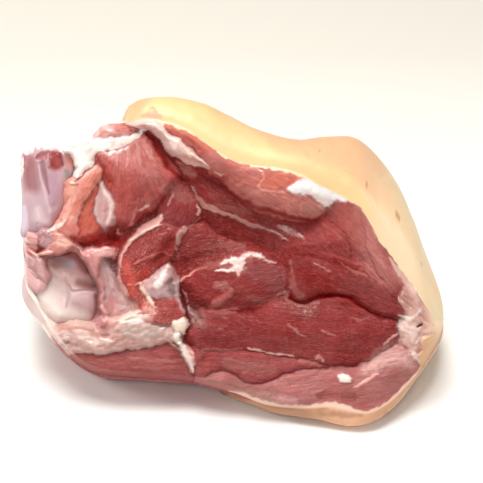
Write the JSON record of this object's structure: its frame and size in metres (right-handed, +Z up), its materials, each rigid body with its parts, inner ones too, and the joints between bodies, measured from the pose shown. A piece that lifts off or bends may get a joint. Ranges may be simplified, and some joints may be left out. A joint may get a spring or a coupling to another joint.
{
  "type": "ham hock",
  "caption": "Cured ham hock lying on its rind: a broad cut face of side-by-side muscles, a fat and rind wrap, and bone heads in the opened joint.",
  "frame": {"origin": "under the middle of the overall box, on the surface that the hock lies on", "axes": "+X along the hock from the opened joint to the closed thin end, +Y from the cut face to the back, +Z up"},
  "size_m": [0.1979, 0.1222, 0.1177],
  "materials": {
    "meat_and_rind": "moist cured pork with a cream-yellow rind; stands in for meat, fat and skin",
    "joint_bone": "wet pink-white joint cartilage; stands in for bone and cartilage"
  },
  "bodies": {
    "root": {"meat_and_rind": "meat_and_rind", "upper_joint_bone": "joint_bone", "lower_joint_bone": "joint_bone"}
  },
  "joints": []
}
